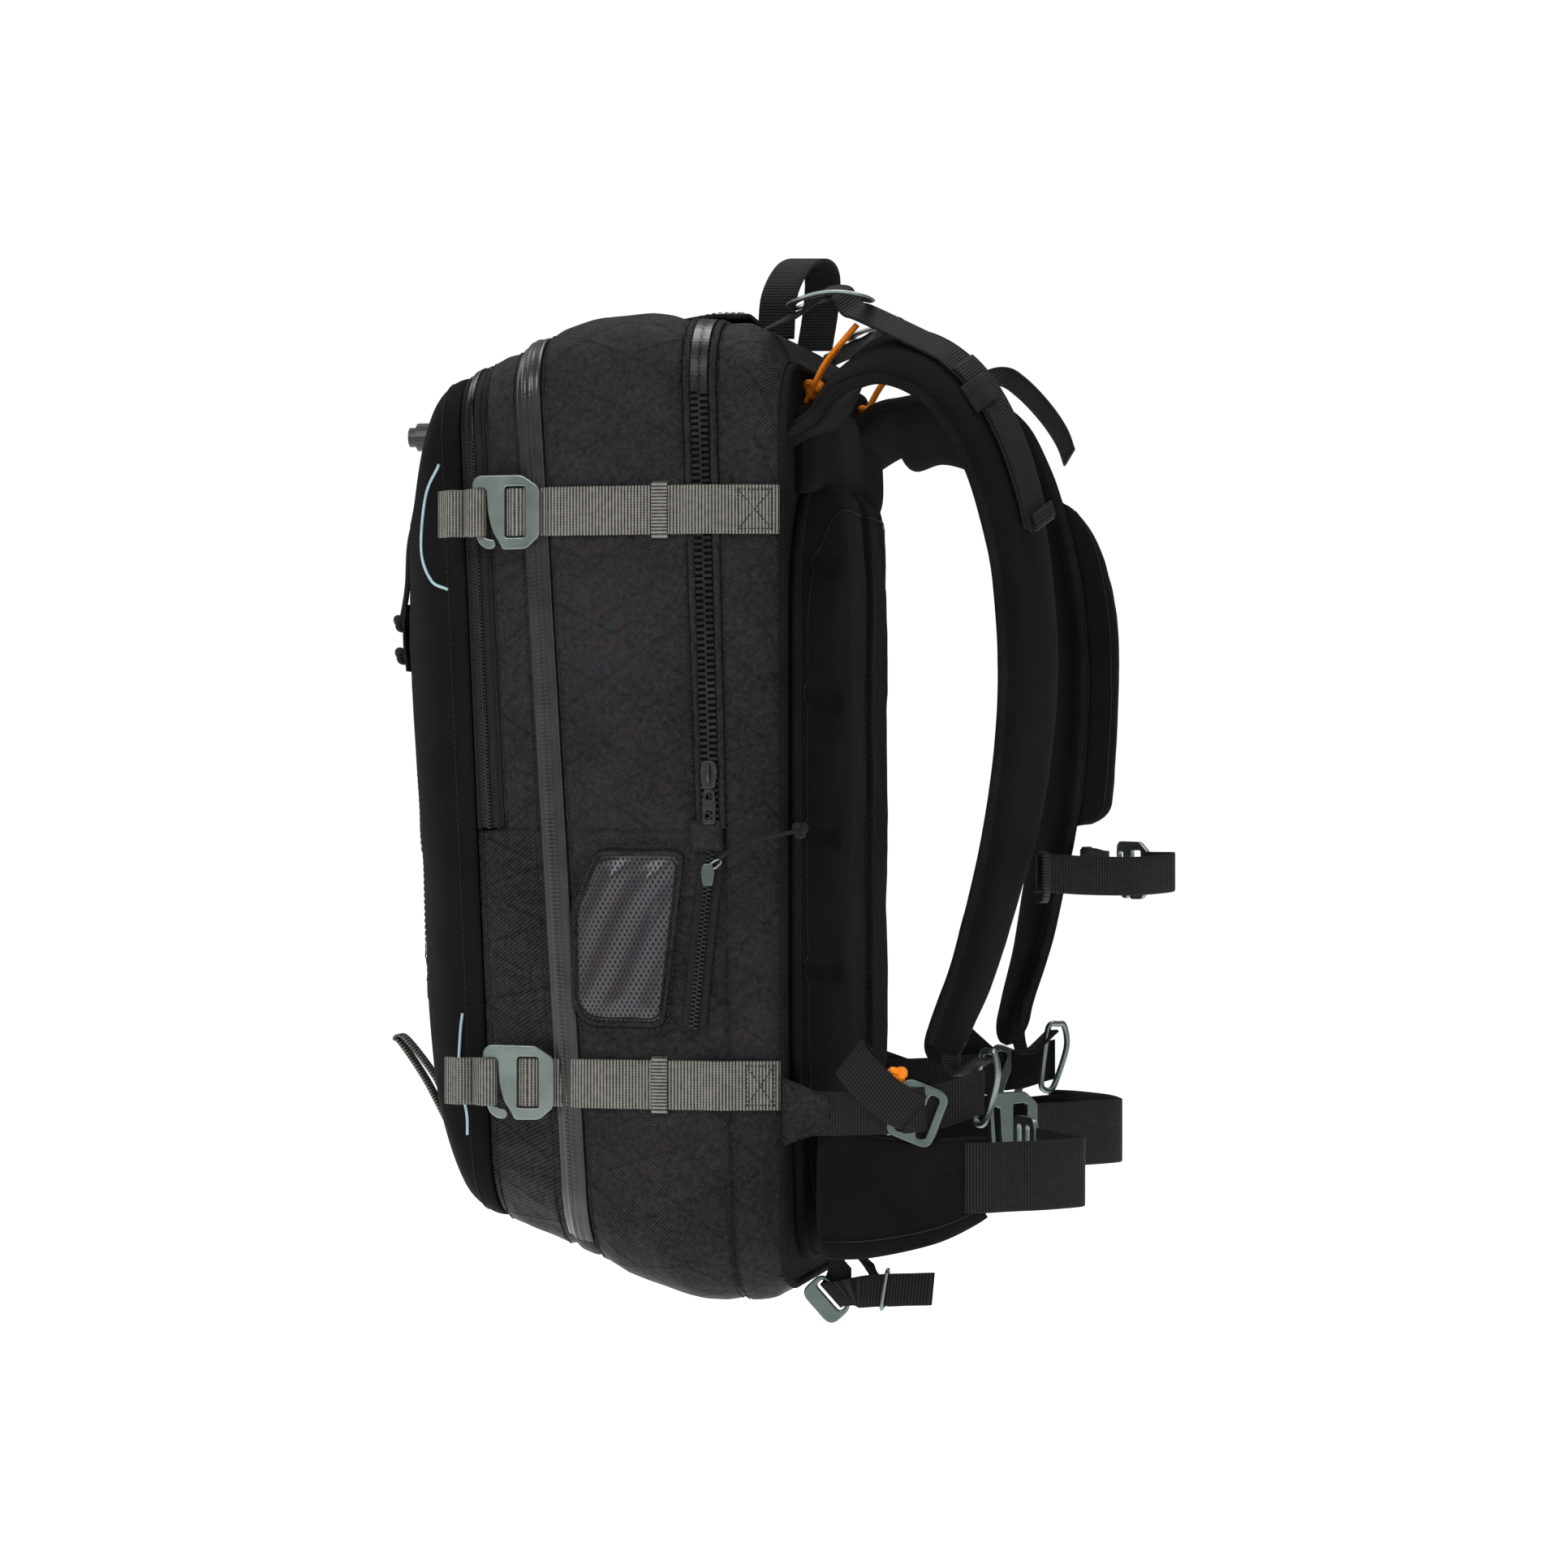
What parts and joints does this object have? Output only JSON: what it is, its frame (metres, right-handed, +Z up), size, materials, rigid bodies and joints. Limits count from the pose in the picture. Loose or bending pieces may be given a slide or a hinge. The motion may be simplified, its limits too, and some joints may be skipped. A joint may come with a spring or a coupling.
{
  "type": "avalanche airbag backpack",
  "caption": "Black ski touring backpack with an airbag behind a side-to-top zip, an electric fan inside, padded shoulder straps, hip belt and metal hook straps for skis.",
  "frame": {"origin": "middle of the flat face of the back panel, which lies against the wearer's back", "axes": "+X out of the back panel towards the wearer, +Y to the wearer's left, +Z up"},
  "size_m": [0.4234, 0.312, 0.5561],
  "materials": {
    "side_fabric": "matte coated ripstop",
    "front_fabric": "smooth matte stretch fabric",
    "gusset_fabric": "matte wrinkled fabric",
    "coated_zip": "satin rubber coated zip tape",
    "zip_tape": "matte woven zip tape",
    "zip_teeth": "satin moulded teeth",
    "mesh": "glossy open mesh",
    "back_foam": "matte brushed foam cover",
    "strap_fabric": "matte woven",
    "binding": "matte binding tape",
    "black_webbing": "matte ribbed webbing",
    "grey_webbing": "matte ribbed webbing",
    "piping": "satin reflective piping",
    "anodised_metal": "satin anodised",
    "dark_metal": "satin anodised",
    "steel_wire": "satin",
    "black_plastic": "satin moulded",
    "frame_plastic": "matte sheet",
    "trigger_orange": "satin",
    "orange_cord": "matte braided",
    "airbag_fabric": "satin coated nylon",
    "capacitor_sleeve": "gloss shrink sleeve"
  },
  "bodies": {
    "pack": {"main_zip_tape": "coated_zip", "main_side_panel": "side_fabric", "airbag_zip_tape": "zip_tape", "rear_gusset": "gusset_fabric", "intake_mesh": "mesh", "back_panel": "back_foam", "frame_sheet": "frame_plastic", "ski_strap_upper_right": "grey_webbing", "ski_strap_upper_left": "grey_webbing", "ski_strap_lower_right": "grey_webbing", "ski_strap_lower_left": "grey_webbing", "shoulder_strap_right": "strap_fabric", "shoulder_strap_left": "strap_fabric", "load_lifter_right": "black_webbing", "load_lifter_left": "black_webbing", "lifter_buckle_right": "anodised_metal", "lifter_buckle_left": "anodised_metal", "lower_webbing_right": "black_webbing", "lower_webbing_left": "black_webbing", "ladder_buckle_right": "dark_metal", "ladder_buckle_left": "dark_metal", "strap_ring_right": "steel_wire", "strap_ring_left": "steel_wire", "trigger_pocket": "strap_fabric", "airbag_folded": "airbag_fabric", "fan_housing": "black_plastic", "fan_motor": "steel_wire", "outlet_duct": "black_plastic", "control_box": "black_plastic", "supercapacitor_pack": "capacitor_sleeve"},
    "lid": {"front_panel": "front_fabric", "front_zip_tape": "zip_tape", "tool_pocket_gusset": "gusset_fabric", "cord_lock_barrel": "black_plastic"},
    "cord_lock_button": {"cord_lock_button": "dark_metal"},
    "axe_loop": {"axe_loop": "grey_webbing"},
    "top_flap": {"top_flap": "gusset_fabric"},
    "grab_handle": {"grab_handle": "black_webbing"},
    "airbag_zip_slider": {"airbag_zip_slider": "black_plastic"},
    "airbag_zip_pull": {"airbag_zip_pull": "black_plastic"},
    "side_zip_slider": {"side_zip_slider": "black_plastic"},
    "main_zip_slider": {"main_zip_slider": "black_plastic"},
    "trigger_handle": {"trigger_handle": "trigger_orange"},
    "sternum_right": {"sternum_strap_right": "black_webbing"},
    "sternum_left": {"sternum_strap_left": "black_webbing", "sternum_hook": "anodised_metal"},
    "hip_right": {"hip_wing_right": "strap_fabric", "hip_webbing_right": "black_webbing", "hip_buckle": "anodised_metal"},
    "hip_left": {"hip_wing_left": "strap_fabric", "hip_webbing_left": "black_webbing", "hip_hook": "dark_metal"},
    "leg_strap": {"leg_strap": "black_webbing", "leg_hook": "dark_metal"},
    "fan_impeller": {"fan_impeller": "black_plastic"},
    "power_switch": {"power_switch": "trigger_orange"},
    "ski_hook_upper_right": {"ski_hook_upper_right": "anodised_metal"},
    "ski_hook_upper_left": {"ski_hook_upper_left": "anodised_metal"},
    "ski_hook_lower_right": {"ski_hook_lower_right": "anodised_metal"},
    "ski_hook_lower_left": {"ski_hook_lower_left": "anodised_metal"}
  },
  "joints": [
    {"name": "lid_open", "type": "hinge", "parent": "pack", "child": "lid", "pos_m": [-0.1336, 0, -0.243], "axis": [0, -1, 0], "range_deg": [0, 100]},
    {"name": "cord_lock_press", "type": "slide", "parent": "lid", "child": "cord_lock_button", "axis": [1, 0, 0], "range_m": [0, 0.003], "stiffness_N_per_m": 300, "springref_m": -0.001},
    {"name": "axe_loop_swing", "type": "hinge", "parent": "lid", "child": "axe_loop", "pos_m": [-0.211, -0.026, -0.196], "axis": [0, -1, 0], "range_deg": [-2, 40], "stiffness_Nm_per_rad": 0.05},
    {"name": "top_flap_lift", "type": "hinge", "parent": "pack", "child": "top_flap", "pos_m": [-0.0945, 0, 0.2402], "axis": [0, -1, 0], "range_deg": [0, 110]},
    {"name": "grab_handle_swing", "type": "hinge", "parent": "pack", "child": "grab_handle", "pos_m": [-0.0398, 0, 0.2374], "axis": [0.1066, 0.9943, 0], "range_deg": [-12, 30], "stiffness_Nm_per_rad": 0.05},
    {"name": "airbag_zip_slide", "type": "slide", "parent": "pack", "child": "airbag_zip_slider", "axis": [-0.03, 0, 0.9996], "range_m": [0, 0.105]},
    {"name": "airbag_zip_pull_swing", "type": "hinge", "parent": "airbag_zip_slider", "child": "airbag_zip_pull", "pos_m": [-0.05741, -0.13989, -0.004], "axis": [-1, 0, 0], "range_deg": [0, 95]},
    {"name": "side_zip_slide", "type": "slide", "parent": "pack", "child": "side_zip_slider", "axis": [-0.0946, 0, -0.9955], "range_m": [0, 0.06]},
    {"name": "main_zip_slide", "type": "slide", "parent": "pack", "child": "main_zip_slider", "axis": [0, 1, 0], "range_m": [-0.09, 0.09]},
    {"name": "ski_hook_upper_right_swing", "type": "hinge", "parent": "pack", "child": "ski_hook_upper_right", "pos_m": [-0.14593, -0.13736, 0.139], "axis": [0, 0, 1], "range_deg": [0, 75]},
    {"name": "ski_hook_upper_left_swing", "type": "hinge", "parent": "pack", "child": "ski_hook_upper_left", "pos_m": [-0.14593, 0.13736, 0.139], "axis": [0, 0, -1], "range_deg": [0, 75]},
    {"name": "ski_hook_lower_right_swing", "type": "hinge", "parent": "pack", "child": "ski_hook_lower_right", "pos_m": [-0.13962, -0.13328, -0.1525], "axis": [0, 0, 1], "range_deg": [0, 75]},
    {"name": "ski_hook_lower_left_swing", "type": "hinge", "parent": "pack", "child": "ski_hook_lower_left", "pos_m": [-0.13962, 0.13328, -0.1525], "axis": [0, 0, -1], "range_deg": [0, 75]},
    {"name": "trigger_pull", "type": "slide", "parent": "pack", "child": "trigger_handle", "axis": [0, 0, -1], "range_m": [0, 0.025], "stiffness_N_per_m": 150, "springref_m": -0.002},
    {"name": "sternum_right_slide", "type": "slide", "parent": "pack", "child": "sternum_right", "axis": [0.2, 0, 0.9798], "range_m": [-0.02, 0.01]},
    {"name": "sternum_left_slide", "type": "slide", "parent": "pack", "child": "sternum_left", "axis": [0.2, 0, 0.9798], "range_m": [-0.02, 0.01]},
    {"name": "hip_right_swing", "type": "hinge", "parent": "pack", "child": "hip_right", "pos_m": [0.004, -0.13, -0.207], "axis": [0, 0, -1], "range_deg": [0, 60]},
    {"name": "hip_left_swing", "type": "hinge", "parent": "pack", "child": "hip_left", "pos_m": [0.004, 0.13, -0.207], "axis": [0, 0, 1], "range_deg": [0, 60]},
    {"name": "leg_strap_swing", "type": "hinge", "parent": "pack", "child": "leg_strap", "pos_m": [0.003, -0.099, -0.242], "axis": [0, 1, 0], "range_deg": [-20, 0]},
    {"name": "fan_spin", "type": "hinge", "parent": "pack", "child": "fan_impeller", "pos_m": [-0.0975, -0.098, -0.08], "axis": [0, 1, 0], "continuous": true},
    {"name": "power_switch_slide", "type": "slide", "parent": "pack", "child": "power_switch", "axis": [0, 0, 1], "range_m": [0, 0.006]}
  ],
  "couplings": [
    {"joint": "sternum_left_slide", "follows": "sternum_right_slide", "ratio": 1}
  ]
}
